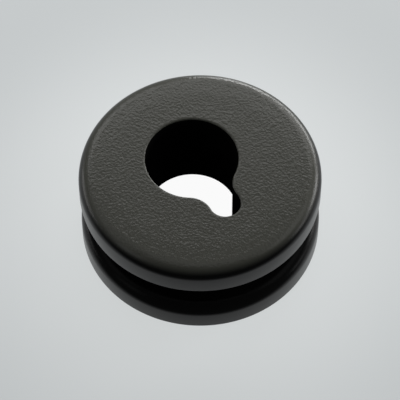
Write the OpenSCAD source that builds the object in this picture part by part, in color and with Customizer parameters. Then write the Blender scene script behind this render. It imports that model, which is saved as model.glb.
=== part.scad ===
// Panel grommet with a keyhole passage, moulded in one piece of rubber.
// Two round flanges stand either side of a groove that snaps into a hole in a panel,
// and a keyhole runs through it from top to bottom: a wide bore that opens, through a
// narrow neck, into a small lobe.
// Millimetres. +Z is the grommet's axis; the origin is the middle of the underside.

/* [Panel fit] */
// Diameter of the hole in the panel, which the root of the groove fills
panel_hole_d = 19; // [16.5:0.5:30]
// Thickness of the panel, which is the width of the groove
panel_t = 3.5; // [1.2:0.1:6]
// Radius in the two inner corners of the groove
root_r = 0.4; // [0.1:0.1:0.5]

/* [Flanges] */
// How far the flanges overlap the panel, all round its hole
lip = 3; // [2.3:0.1:6]
// Thickness of the upper flange
upper_t = 3.55; // [2.2:0.05:6]
// Thickness of the lower flange
lower_t = 3.55; // [2.2:0.05:6]
// Radius of the rounded shoulder on each flange's upper outer edge
shoulder_r = 1.5; // [0.4:0.1:1.7]
// Radius of the small rounding on each flange's lower outer edge
edge_r = 0.2; // [0.05:0.05:0.3]

/* [Keyhole] */
// Diameter of the wide bore
bore_d = 9.6; // [7:0.1:10.5]
// Diameter of the small lobe
lobe_d = 3.2; // [2.8:0.1:4.5]
// Distance from the middle of the bore to the middle of the lobe
lobe_pitch = 6.45; // [5.7:0.05:6.8]
// Radius of the two rounded corners at the neck
neck_r = 2.5; // [0.8:0.1:3]
// Radius of the rounding on the keyhole's rims, top and bottom
rim_r = 0.2; // [0.05:0.05:0.4]
// Direction of the lobe, turned about the axis from +X
keyhole_turn = -58.5; // [-180:0.5:180]

/* [Hidden] */
$fn = 96;
// How far a cutter runs past what it cuts
over = 1;
// How far a neck corner laps over the bore and the lobe, so that their walls cross
// and don't only touch
lap = 0.002;

groove_r = panel_hole_d / 2;
flange_r = groove_r + lip;
bore_r = bore_d / 2;
lobe_r = lobe_d / 2;
groove_z = lower_t;
upper_z = groove_z + panel_t;
total_h = upper_z + upper_t;

// The keyhole as a whole is centred on the grommet, so its bore stands off the axis.
keyhole_len = bore_r + lobe_pitch + lobe_r;
bore_off = keyhole_len / 2 - bore_r;

// Each neck corner is a round post of solid rubber that touches the bore and the lobe
// from outside. This is its middle, with the bore's middle at the origin and the lobe
// along +X.
post_to_bore = bore_r + neck_r - lap;
post_to_lobe = lobe_r + neck_r - lap;
post_x = (post_to_bore ^ 2 - post_to_lobe ^ 2 + lobe_pitch ^ 2) / (2 * lobe_pitch);
post_y = sqrt(post_to_bore ^ 2 - post_x ^ 2);

// What a rounding of radius r takes off a square corner that points to +X +Y,
// with its own middle at the origin
module corner_waste(r) {
    difference() {
        square(r + over);
        circle(r);
    }
}

// Half section of one flange, from the axis outwards, standing on Y = 0
module flange_section(thick) {
    difference() {
        square([flange_r, thick]);
        translate([flange_r - shoulder_r, thick - shoulder_r]) corner_waste(shoulder_r);
        translate([flange_r - edge_r, edge_r]) mirror([0, 1]) corner_waste(edge_r);
    }
}

// Half section of the waist between the flanges, with its filleted corners
module waist_section() {
    difference() {
        square([groove_r + root_r, panel_t]);
        translate([groove_r + root_r, root_r]) circle(root_r);
        translate([groove_r + root_r, panel_t - root_r]) circle(root_r);
        translate([groove_r, root_r]) square([over, panel_t - 2 * root_r]);
    }
}

// Half section of a round hole of radius r that opens out over its rounded rims
module hole_section(r) {
    difference() {
        translate([0, -over]) square([r + rim_r, total_h + 2 * over]);
        translate([r + rim_r, rim_r]) circle(rim_r);
        translate([r + rim_r, total_h - rim_r]) circle(rim_r);
        translate([r, rim_r]) square([over, total_h - 2 * rim_r]);
    }
}

// Half section of a round post of radius r that draws in over its rounded rims.
// Past the rims it runs on, further than the cutters do.
module post_section(r) {
    translate([0, -2 * over]) square([r - rim_r, total_h + 4 * over]);
    translate([r - rim_r, rim_r]) circle(rim_r);
    translate([r - rim_r, total_h - rim_r]) circle(rim_r);
    translate([0, rim_r]) square([r, total_h - 2 * rim_r]);
}

// The keyhole as a solid to be cut out: the bore, the lobe, and the neck left between
// the two posts. The bore's middle is at the origin and the lobe lies along +X.
module keyhole() {
    rotate_extrude() hole_section(bore_r);
    translate([lobe_pitch, 0]) rotate_extrude() hole_section(lobe_r);
    difference() {
        translate([0, 0, -over]) linear_extrude(total_h + 2 * over)
            polygon([[0, 0], [post_x, post_y], [lobe_pitch, 0], [post_x, -post_y]]);
        for (side = [-1, 1])
            translate([post_x, side * post_y]) rotate_extrude() post_section(neck_r);
    }
}

// The two flanges and the waist between them, turned about the axis
module turned_body() {
    rotate_extrude() {
        flange_section(lower_t);
        translate([0, groove_z]) waist_section();
        translate([0, upper_z]) flange_section(upper_t);
    }
}

module grommet() {
    color([0.07, 0.07, 0.068])
        rotate([0, 0, keyhole_turn]) difference() {
            turned_body();
            translate([-bore_off, 0, 0]) keyhole();
        }
}

grommet();
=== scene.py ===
import math
import bmesh
import bpy
from mathutils import Matrix, Vector


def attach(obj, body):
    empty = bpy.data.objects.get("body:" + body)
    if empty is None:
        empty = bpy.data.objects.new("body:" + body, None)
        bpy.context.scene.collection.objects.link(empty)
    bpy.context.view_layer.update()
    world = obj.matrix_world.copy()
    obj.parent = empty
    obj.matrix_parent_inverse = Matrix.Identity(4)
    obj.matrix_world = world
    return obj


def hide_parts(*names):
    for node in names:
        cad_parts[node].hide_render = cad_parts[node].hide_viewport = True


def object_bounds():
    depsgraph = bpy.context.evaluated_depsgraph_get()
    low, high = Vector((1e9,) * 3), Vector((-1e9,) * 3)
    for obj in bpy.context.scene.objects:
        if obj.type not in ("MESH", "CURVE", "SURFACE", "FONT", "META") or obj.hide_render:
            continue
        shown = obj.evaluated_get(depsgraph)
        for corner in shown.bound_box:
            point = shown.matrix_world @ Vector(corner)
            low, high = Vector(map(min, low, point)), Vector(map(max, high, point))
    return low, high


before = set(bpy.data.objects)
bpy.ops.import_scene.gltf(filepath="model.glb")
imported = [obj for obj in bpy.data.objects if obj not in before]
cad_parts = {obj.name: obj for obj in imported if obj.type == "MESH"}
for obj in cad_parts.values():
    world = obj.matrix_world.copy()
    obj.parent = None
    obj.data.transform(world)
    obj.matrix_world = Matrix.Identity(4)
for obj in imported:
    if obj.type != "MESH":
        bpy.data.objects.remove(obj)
cad_low, cad_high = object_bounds()

MM = 0.001
UP = Vector((0, 0, 1))
QUARTER = math.pi / 2

# ---------------------------------------------------------------- sizes, in millimetres
# The grommet's own driving sizes. Its height and diameter come from the frame.

LIP = 3.0
PANEL_T = 3.5
ROOT_R = 0.4
SHOULDER_R = 1.5
EDGE_R = 0.2
BORE_R = 4.8
LOBE_R = 1.6
LOBE_PITCH = 6.45
NECK_R = 2.5
RIM_R = 0.2
KEYHOLE_TURN = math.radians(-58.5)

HEIGHT = (cad_high.z - cad_low.z) / MM
FLANGE_R = (cad_high.x - cad_low.x) / 2 / MM
GROOVE_R = FLANGE_R - LIP
FLANGE_T = (HEIGHT - PANEL_T) / 2
UPPER_Z = FLANGE_T + PANEL_T
FACE_R = FLANGE_R - SHOULDER_R

# The keyhole is centred on the axis as a whole, so its bore stands off it.
BORE_X = BORE_R - (BORE_R + LOBE_PITCH + LOBE_R) / 2
LOBE_X = BORE_X + LOBE_PITCH

# ---------------------------------------------------------------- camera
# Distances are in millimetres, and the focal length is in pixels of the picture.

PICTURE_PX = 400
FOCAL_PX = 2338
SENSOR_WIDTH = 36
CAMERA_AWAY = 243.6
CAMERA_ABOVE = math.radians(57.34)
CAMERA_ROLL = math.radians(-0.4)
# How far the grommet's middle stands right of the picture's middle, and above it
OFF_CENTRE_PX = Vector((0.22, 3.22, 0))
# The nearest and the furthest that the camera sees
CLIP_NEAR = 10
CLIP_FAR = 10000


def make_camera():
    """Stands in front of the grommet and well above it, with a long lens."""
    data = bpy.data.cameras.new("camera")
    data.sensor_width = SENSOR_WIDTH
    data.lens = FOCAL_PX * SENSOR_WIDTH / PICTURE_PX
    data.clip_start = CLIP_NEAR * MM
    data.clip_end = CLIP_FAR * MM
    data.dof.use_dof = False
    camera = bpy.data.objects.new("camera", data)
    bpy.context.scene.collection.objects.link(camera)
    back = Vector((0, -math.cos(CAMERA_ABOVE), math.sin(CAMERA_ABOVE)))
    turn = back.to_track_quat("Z", "Y")
    middle = Vector((0, 0, HEIGHT / 2))
    px = CAMERA_AWAY / FOCAL_PX
    aim = middle - turn @ (OFF_CENTRE_PX * px)
    camera.matrix_world = (
        Matrix.Translation((aim + back * CAMERA_AWAY) * MM)
        @ turn.to_matrix().to_4x4()
        @ Matrix.Rotation(CAMERA_ROLL, 4, "Z")
    )
    bpy.context.scene.camera = camera


make_camera()

# ---------------------------------------------------------------- shader maths


class Tree:
    """The node tree of a material or a world, emptied, with one method that makes any node."""

    def __init__(self, owner):
        owner.use_nodes = True
        self.nodes = owner.node_tree.nodes
        self.links = owner.node_tree.links
        self.nodes.clear()

    def add(self, kind, settings=None, out=0, **inputs):
        """Makes a node, sets it up, then gives its inputs values or links. An input goes by its
        name, with _ for each space, or by _ and its number."""
        node = self.nodes.new(kind)
        for name, value in (settings or {}).items():
            setattr(node, name, value)
        for name, value in inputs.items():
            key = int(name[1:]) if name[1:].isdigit() else name.replace("_", " ")
            socket = node.inputs[key]
            if isinstance(value, Value):
                self.links.new(value.socket, socket)
            else:
                socket.default_value = value
        return Value(self, node.outputs[out]) if len(node.outputs) else None

    def colour(self, share, first, second):
        """The first colour where share is 0, and the second where it is 1."""
        return self.add(
            "ShaderNodeMix", {"data_type": "RGBA"}, out=2, _0=share, _6=first, _7=second
        )

    def cover(self, share, under, over):
        """The shader under where share is 0, and the shader over where it is 1."""
        return self.add("ShaderNodeMixShader", _0=share, _1=under, _2=over)


class Value:
    """A socket that Python's operators build Math nodes on."""

    def __init__(self, tree, socket):
        self.tree = tree
        self.socket = socket

    def math(self, operation, *others):
        inputs = {f"_{i}": v for i, v in enumerate((self, *others))}
        return self.tree.add("ShaderNodeMath", {"operation": operation}, **inputs)

    def flipped(self, operation, other):
        return self.tree.add("ShaderNodeMath", {"operation": operation}, _0=other, _1=self)

    def __add__(self, other):
        return self.math("ADD", other)

    def __radd__(self, other):
        return self.math("ADD", other)

    def __sub__(self, other):
        return self.math("SUBTRACT", other)

    def __rsub__(self, other):
        return self.flipped("SUBTRACT", other)

    def __mul__(self, other):
        return self.math("MULTIPLY", other)

    def __rmul__(self, other):
        return self.math("MULTIPLY", other)

    def __truediv__(self, other):
        return self.math("DIVIDE", other)

    def __rtruediv__(self, other):
        return self.flipped("DIVIDE", other)

    def __pow__(self, other):
        return self.math("POWER", other)

    def __rpow__(self, other):
        return self.flipped("POWER", other)

    def smooth(self, start, full):
        """0 up to start and 1 from full on, with a smooth step between. full may be the lower."""
        return self.tree.add(
            "ShaderNodeMapRange",
            {"interpolation_type": "SMOOTHSTEP"},
            Value=self,
            From_Min=start,
            From_Max=full,
        )


def new_material(name):
    material = bpy.data.materials.new(name)
    return material, Tree(material)


# ---------------------------------------------------------------- rubber

FACE_COLOUR = (0.0218, 0.0219, 0.016, 1)
# Painted shade: the shoulders are near black and almost without gloss, in place of the dark
# surroundings they would mirror.
SHOULDER_PAINTED_SHADE_COLOUR = (0.002, 0.002, 0.002, 1)
WALL_COLOUR = (0.003, 0.003, 0.0034, 1)
WALL_MIRROR_TINT = (1, 0.97, 0.965, 1)
# Painted shade in the hollows: the keyhole's wall and the ledge under the upper flange are near
# black.
HOLLOW_PAINTED_SHADE_COLOUR = (0.003, 0.003, 0.003, 1)

# The grain of the flat faces, and the crown that they fall away from towards their outer edge.
# Depths are in millimetres.
GRAIN_PER_MM = 4.3
GRAIN_DEPTH = 0.05
CROWN_DEPTH = 0.08

# Where each of these starts and where it is full. Heights and radii are in millimetres, and
# the shoulder's heights count from the level where the wall ends.
CROWN = (11.8, 9.2)
UPPER_FLANGE = (UPPER_Z - 0.1, UPPER_Z + 0.1)
SHOULDER = (-0.5, 0.3)
BEYOND_WAIST = (GROOVE_R, GROOVE_R + 0.15)
LEDGE = (FLANGE_T - 0.06, FLANGE_T - 0.02)
KEYHOLE_REACH = (9.0, 8.8)
KEYHOLE_BELOW_RIM = (HEIGHT - 0.13, HEIGHT - RIM_R)
KEYHOLE_ABOVE_RIM = (0.02, 0.1)
UNDERSIDE = (0.05, 0.0)
# These are shares of the quarter turn round a shoulder, from its wall up to its face.
FACE = (0.27, 0.68)
GRAIN = (0.5, 0.95)
# This one is how far the surface faces away: 0 head on, 1 side on.
SHEEN = (0.28, 0.54)


def rubber():
    """Black moulded rubber: grained flat faces, shoulders with painted shade (near black, almost
    no gloss head on, the walls' real gloss side on), satin walls and waist, and painted shade,
    dull and black, in the keyhole and on the ledge under the upper flange."""
    material, tree = new_material("moulded_rubber")
    place = tree.add("ShaderNodeTexCoord", out="Object")
    apart = tree.add("ShaderNodeSeparateXYZ", Vector=place)
    split = apart.socket.node.outputs
    x, y, z = (Value(tree, split[i]) / MM for i in range(3))
    radius = (x * x + y * y) ** 0.5

    upper = z.smooth(*UPPER_FLANGE)
    shoulder_z = z - (FLANGE_T - SHOULDER_R) - upper * UPPER_Z
    shoulder_x = radius - FACE_R
    quarters_round = shoulder_z.math("ARCTAN2", shoulder_x) / QUARTER

    off_waist = radius.smooth(*BEYOND_WAIST)
    # Where the shoulders' painted shade goes
    on_shoulder = shoulder_z.smooth(*SHOULDER) * off_waist
    on_face = quarters_round.smooth(*FACE) * upper
    # Painted shade on the lower flange's ledge under the upper flange, and on the keyhole's wall
    painted_shade_on_ledge = z.smooth(*LEDGE) * (1 - upper) * off_waist
    painted_shade_in_keyhole = (
        radius.smooth(*KEYHOLE_REACH) * z.smooth(*KEYHOLE_BELOW_RIM) * z.smooth(*KEYHOLE_ABOVE_RIM)
    )
    underside = z.smooth(*UNDERSIDE)

    in_mm = tree.add("ShaderNodeVectorMath", {"operation": "SCALE"}, _0=place, Scale=1 / MM)
    fine = tree.add(
        "ShaderNodeTexNoise", Vector=in_mm, Scale=GRAIN_PER_MM, Detail=1.0, Roughness=0.4
    )
    grained = quarters_round.smooth(*GRAIN).math("MAXIMUM", underside)
    height = (fine - 0.5) * grained * GRAIN_DEPTH + radius.smooth(*CROWN) * CROWN_DEPTH
    grain = tree.add("ShaderNodeBump", Height=height, Strength=1.0, Distance=MM)

    face = tree.add(
        "ShaderNodeBsdfPrincipled",
        Base_Color=FACE_COLOUR,
        Roughness=0.3,
        Specular_IOR_Level=0.225,
        Normal=grain,
    )
    # Painted shade on the shoulders: near black, almost without gloss.
    shoulder_painted_shade = tree.add(
        "ShaderNodeBsdfPrincipled",
        Base_Color=SHOULDER_PAINTED_SHADE_COLOUR,
        Roughness=0.25,
        Specular_IOR_Level=0.02,
    )
    wall = tree.add(
        "ShaderNodeBsdfPrincipled",
        Base_Color=WALL_COLOUR,
        Roughness=0.29,
        Specular_IOR_Level=0.22,
        Specular_Tint=WALL_MIRROR_TINT,
    )
    # Painted shade for the hollows: near black, with no gloss at all.
    hollow_painted_shade = tree.add(
        "ShaderNodeBsdfPrincipled",
        Base_Color=HOLLOW_PAINTED_SHADE_COLOUR,
        Roughness=0.5,
        Specular_IOR_Level=0.0,
    )
    # Head on, the shoulders show the painted shade; side on, they take the walls' real gloss.
    facing_away = tree.add("ShaderNodeLayerWeight", out="Facing", Blend=0.5)
    shoulder = tree.cover(facing_away.smooth(*SHEEN), shoulder_painted_shade, wall)

    surface = tree.cover(on_shoulder, wall, shoulder)
    surface = tree.cover(on_face, surface, face)
    surface = tree.cover(painted_shade_on_ledge, surface, hollow_painted_shade)
    surface = tree.cover(painted_shade_in_keyhole, surface, hollow_painted_shade)
    surface = tree.cover(underside, surface, face)
    tree.add("ShaderNodeOutputMaterial", Surface=surface)
    return material


# ---------------------------------------------------------------- the grommet's shape

TURN_STEPS = 384
SHOULDER_STEPS = 18
SMALL_STEPS = 6
BORE_STEPS = 120
NECK_STEPS = 24
LOBE_STEPS = 96
SIDE = Vector((0, 1, 0))
# A narrow flat ring round each flat face, so that its shading is flat right up to its edges
FLAT = 0.1


def arc(mesh, vert, centre, angle, steps, axis):
    """Sweeps a vert about a centre and returns the vert at the far end."""
    swept = bmesh.ops.spin(
        mesh, geom=[vert], cent=centre, axis=axis, angle=angle, steps=steps, use_duplicate=False
    )
    return next(g for g in swept["geom_last"] if isinstance(g, bmesh.types.BMVert))


def line(mesh, vert, x=0.0, z=0.0):
    """Extends an edge from a vert, sideways or upwards, and returns its far vert."""
    far = bmesh.ops.extrude_vert_indiv(mesh, verts=[vert])["verts"][0]
    bmesh.ops.translate(mesh, verts=[far], vec=(x, 0, z))
    return far


def flange_edge(mesh, vert):
    """From a flange's flat underside: its lower edge, its wall and its rounded shoulder."""
    vert = arc(mesh, vert, vert.co + EDGE_R * UP, -QUARTER, SMALL_STEPS, SIDE)
    vert = line(mesh, vert, z=FLANGE_T - EDGE_R - SHOULDER_R)
    middle = vert.co - Vector((SHOULDER_R, 0, 0))
    return arc(mesh, vert, middle, -QUARTER, SHOULDER_STEPS, SIDE)


def groove(mesh, vert):
    """In along the lower flange's ledge, up the waist, and out under the upper flange."""
    vert = line(mesh, vert, x=GROOVE_R + ROOT_R - vert.co.x)
    vert = arc(mesh, vert, vert.co + ROOT_R * UP, QUARTER, SMALL_STEPS, SIDE)
    vert = line(mesh, vert, z=PANEL_T - 2 * ROOT_R)
    vert = arc(mesh, vert, vert.co + Vector((ROOT_R, 0, 0)), QUARTER, SMALL_STEPS, SIDE)
    return line(mesh, vert, x=FLANGE_R - EDGE_R - vert.co.x)


def turned_outside(mesh):
    """The outside of both flanges and the groove. Returns its rims, the upper and the lower."""
    before = set(mesh.verts[:] + mesh.edges[:])
    vert = mesh.verts.new((FLANGE_R - EDGE_R - FLAT, 0, 0))
    vert = line(mesh, vert, x=FLAT)
    vert = flange_edge(mesh, vert)
    vert = groove(mesh, vert)
    vert = flange_edge(mesh, vert)
    line(mesh, vert, x=-FLAT)
    section = [part for part in mesh.verts[:] + mesh.edges[:] if part not in before]
    bmesh.ops.spin(
        mesh,
        geom=section,
        cent=(0, 0, 0),
        axis=UP,
        angle=2 * math.pi,
        steps=TURN_STEPS,
        use_merge=True,
    )
    rims = [edge for edge in mesh.edges if edge.is_boundary and edge not in before]
    upper = [edge for edge in rims if edge.verts[0].co.z > HEIGHT / 2]
    lower = [edge for edge in rims if edge.verts[0].co.z < HEIGHT / 2]
    return upper, lower


def keyhole_loop(mesh, height, wider=0.0):
    """The keyhole's outline as a closed loop of edges, with its walls set back by wider."""
    to_bore = BORE_R + NECK_R
    to_lobe = LOBE_R + NECK_R
    along = (to_bore**2 - to_lobe**2 + LOBE_PITCH**2) / (2 * LOBE_PITCH)
    across = math.sqrt(to_bore**2 - along**2)
    at_bore = math.atan2(across, along)
    at_lobe = math.atan2(across, along - LOBE_PITCH)
    bore = Vector((BORE_X, 0, height))
    lobe = Vector((LOBE_X, 0, height))
    left = bore + Vector((along, across, 0))
    right = bore + Vector((along, -across, 0))

    before = set(mesh.edges)
    first = mesh.verts.new(bore - Vector((BORE_R + wider, 0, 0)))
    vert = arc(mesh, first, bore, at_bore - math.pi, BORE_STEPS, UP)
    vert = arc(mesh, vert, left, at_lobe - at_bore, NECK_STEPS, UP)
    vert = arc(mesh, vert, lobe, -2 * at_lobe, LOBE_STEPS, UP)
    vert = arc(mesh, vert, right, at_lobe - at_bore, NECK_STEPS, UP)
    vert = arc(mesh, vert, bore, at_bore - math.pi, BORE_STEPS, UP)
    bmesh.ops.weld_verts(mesh, targetmap={vert: first})
    loop = [edge for edge in mesh.edges if edge not in before]
    verts = list({v for edge in loop for v in edge.verts})
    turn = Matrix.Rotation(KEYHOLE_TURN, 3, "Z")
    bmesh.ops.rotate(mesh, verts=verts, cent=(0, 0, 0), matrix=turn)
    return loop


def keyhole_wall(mesh):
    """The keyhole's wall between two rounded rims. Returns its upper loop and its lower one."""
    turns = [QUARTER * step / SMALL_STEPS for step in range(SMALL_STEPS + 1)]
    rim = [(RIM_R + FLAT, 0)]
    rim += [(RIM_R * (1 - math.sin(t)), RIM_R * (1 - math.cos(t))) for t in turns]
    levels = [(HEIGHT - down, back) for back, down in rim]
    levels += [(down, back) for back, down in reversed(rim)]
    loops = [keyhole_loop(mesh, height, wider) for height, wider in levels]
    for upper, lower in zip(loops, loops[1:]):
        bmesh.ops.bridge_loops(mesh, edges=upper + lower)
    return loops[0], loops[-1]


def grommet():
    """The whole moulding: the turned outside and the keyhole's wall, closed by flat faces."""
    mesh = bmesh.new()
    inner_top, inner_bottom = keyhole_wall(mesh)
    outer_top, outer_bottom = turned_outside(mesh)
    bmesh.ops.triangle_fill(mesh, use_beauty=True, edges=outer_top + inner_top, normal=UP)
    bmesh.ops.triangle_fill(mesh, use_beauty=True, edges=outer_bottom + inner_bottom, normal=-UP)
    bmesh.ops.recalc_face_normals(mesh, faces=mesh.faces)
    bmesh.ops.scale(mesh, verts=mesh.verts, vec=(MM, MM, MM))
    for face in mesh.faces:
        face.smooth = True
    data = bpy.data.meshes.new("grommet_moulding")
    mesh.to_mesh(data)
    mesh.free()
    data.materials.append(rubber())
    piece = bpy.data.objects.new("grommet_moulding", data)
    bpy.context.scene.collection.objects.link(piece)
    flats_flat = piece.modifiers.new("flat_faces_stay_flat", "WEIGHTED_NORMAL")
    flats_flat.keep_sharp = True
    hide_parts("grommet")
    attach(piece, "root")


grommet()

# ---------------------------------------------------------------- floor

FLOOR_PAINT = (0.70, 0.715, 0.72, 1)
# A painted pool of light on the floor: lighter near the grommet, darker further out.
PAINTED_POOL_NEAR = (0.728, 0.755, 0.757, 1)
PAINTED_POOL_FAR = (0.501, 0.528, 0.535, 1)
# Painted light: the floor is white under the grommet, where its shadow falls, so the keyhole shows
# white.
PAINTED_LIGHT_UNDER_GROMMET = (1, 1, 1, 1)
BACKDROP = (0.57, 0.59, 0.595, 1)
FLOOR_WIDTH_M = 4.0
# How much of the floor's look is its own glowing tone, which holds a painted pool of light. The
# rest is paint, which takes the shadow.
GLOW = 0.8
# Painted light under the grommet: the glow covers nearly all the paint there, so the grommet's
# shadow hardly shows.
GLOW_UNDER_PAINTED_LIGHT = 0.95
# Distances from the grommet's axis in millimetres, where each tone starts and where it is full:
# the painted pool of light fading out, the backdrop, and the painted light under the grommet
PAINTED_POOL_FADE = (8, 34)
BACKDROP_TONE = (55, 140)
PAINTED_LIGHT_UNDER_REACH = (FACE_R, FACE_R - 1)


def seen(tree):
    """1 where a surface is looked at or mirrored, and 0 where it only lights something."""
    looked_at = tree.add("ShaderNodeLightPath", out="Is Camera Ray")
    path = looked_at.socket.node.outputs
    return looked_at.math("MAXIMUM", Value(tree, path["Is Glossy Ray"])).math(
        "MAXIMUM", Value(tree, path["Is Transmission Ray"])
    )


def floor_paint():
    """Pale paint that takes the shadow, and a glowing pale tone laid over most of it, with a
    painted pool of light that is brightest near the grommet. Painted light makes it white under
    the grommet, and it runs into the backdrop further out."""
    material, tree = new_material("pale_floor")
    place = tree.add("ShaderNodeTexCoord", out="Object")
    radius = tree.add("ShaderNodeVectorMath", {"operation": "LENGTH"}, out="Value", _0=place) / MM
    # Where the painted light under the grommet goes
    under = radius.smooth(*PAINTED_LIGHT_UNDER_REACH)
    outside = radius.smooth(*BACKDROP_TONE)
    tone = tree.colour(radius.smooth(*PAINTED_POOL_FADE), PAINTED_POOL_NEAR, PAINTED_POOL_FAR)
    tone = tree.colour(under, tone, PAINTED_LIGHT_UNDER_GROMMET)
    tone = tree.colour(outside, tone, BACKDROP)
    paint = tree.add("ShaderNodeBsdfDiffuse", Color=FLOOR_PAINT)
    glow = tree.add("ShaderNodeEmission", Color=tone)
    share = GLOW + under * (GLOW_UNDER_PAINTED_LIGHT - GLOW) + outside * (1 - GLOW)
    tree.add("ShaderNodeOutputMaterial", Surface=tree.cover(seen(tree) * share, paint, glow))
    return material


def make_floor():
    """A level floor that the grommet lies on."""
    data = bpy.data.meshes.new("floor")
    mesh = bmesh.new()
    bmesh.ops.create_grid(mesh, x_segments=1, y_segments=1, size=FLOOR_WIDTH_M / 2)
    mesh.to_mesh(data)
    mesh.free()
    data.materials.append(floor_paint())
    floor = bpy.data.objects.new("floor", data)
    bpy.context.scene.collection.objects.link(floor)


make_floor()

# ---------------------------------------------------------------- light

ROOM_LIGHT = 0.05


def soft_light(name, around, above, away, wide, high, level):
    """A soft box that faces the grommet. around and above are in degrees, around from the
    front and on to the right; away, wide and high are in millimetres. At level 1, it lights
    a surface that faces it as bright as the surface's own colour."""
    data = bpy.data.lights.new(name, "AREA")
    data.shape = "RECTANGLE"
    data.size, data.size_y = wide * MM, high * MM
    data.energy = level * (math.pi * away * MM) ** 2
    turn, rise = math.radians(around), math.radians(above)
    flat = Vector((math.sin(turn), -math.cos(turn), 0))
    out = flat * math.cos(rise) + UP * math.sin(rise)
    light = bpy.data.objects.new(name, data)
    light.location = (out * away + UP * HEIGHT / 2) * MM
    light.rotation_euler = out.to_track_quat("Z", "Y").to_euler()
    bpy.context.scene.collection.objects.link(light)


def make_backdrop():
    """A dim room whose walls look as pale as the floor."""
    world = bpy.data.worlds.new("room")
    tree = Tree(world)
    dim = tree.add("ShaderNodeBackground", Color=BACKDROP, Strength=ROOM_LIGHT)
    pale = tree.add("ShaderNodeBackground", Color=BACKDROP, Strength=1.0)
    tree.add("ShaderNodeOutputWorld", Surface=tree.cover(seen(tree), dim, pale))
    bpy.context.scene.world = world


soft_light("overhead", 0, 90, 400, 300, 300, 0.175)
soft_light("back_near", 180, 42, 120, 50, 50, 0.213)
soft_light("back_left_near", -150, 36, 120, 50, 50, 0.24)
soft_light("back_right_near", 150, 36, 120, 50, 50, 0.255)
soft_light("back_low", 170, 6, 400, 130, 76, 0.31)
soft_light("back_right_low", 143, 6, 400, 220, 76, 0.42)
soft_light("right_back_low", 110, 10, 400, 150, 100, 0.43)
soft_light("right_low", 85, 6, 400, 120, 76, 0.16)
soft_light("right_high", 96, 50, 400, 320, 160, 0.18)
soft_light("left_high", -108, 50, 400, 320, 160, 0.1)
soft_light("left_low", -107, 6, 400, 240, 76, 0.195)
soft_light("left_front", -60, 28, 400, 150, 150, 0.06)
make_backdrop()

bpy.context.scene.view_settings.view_transform = "Standard"
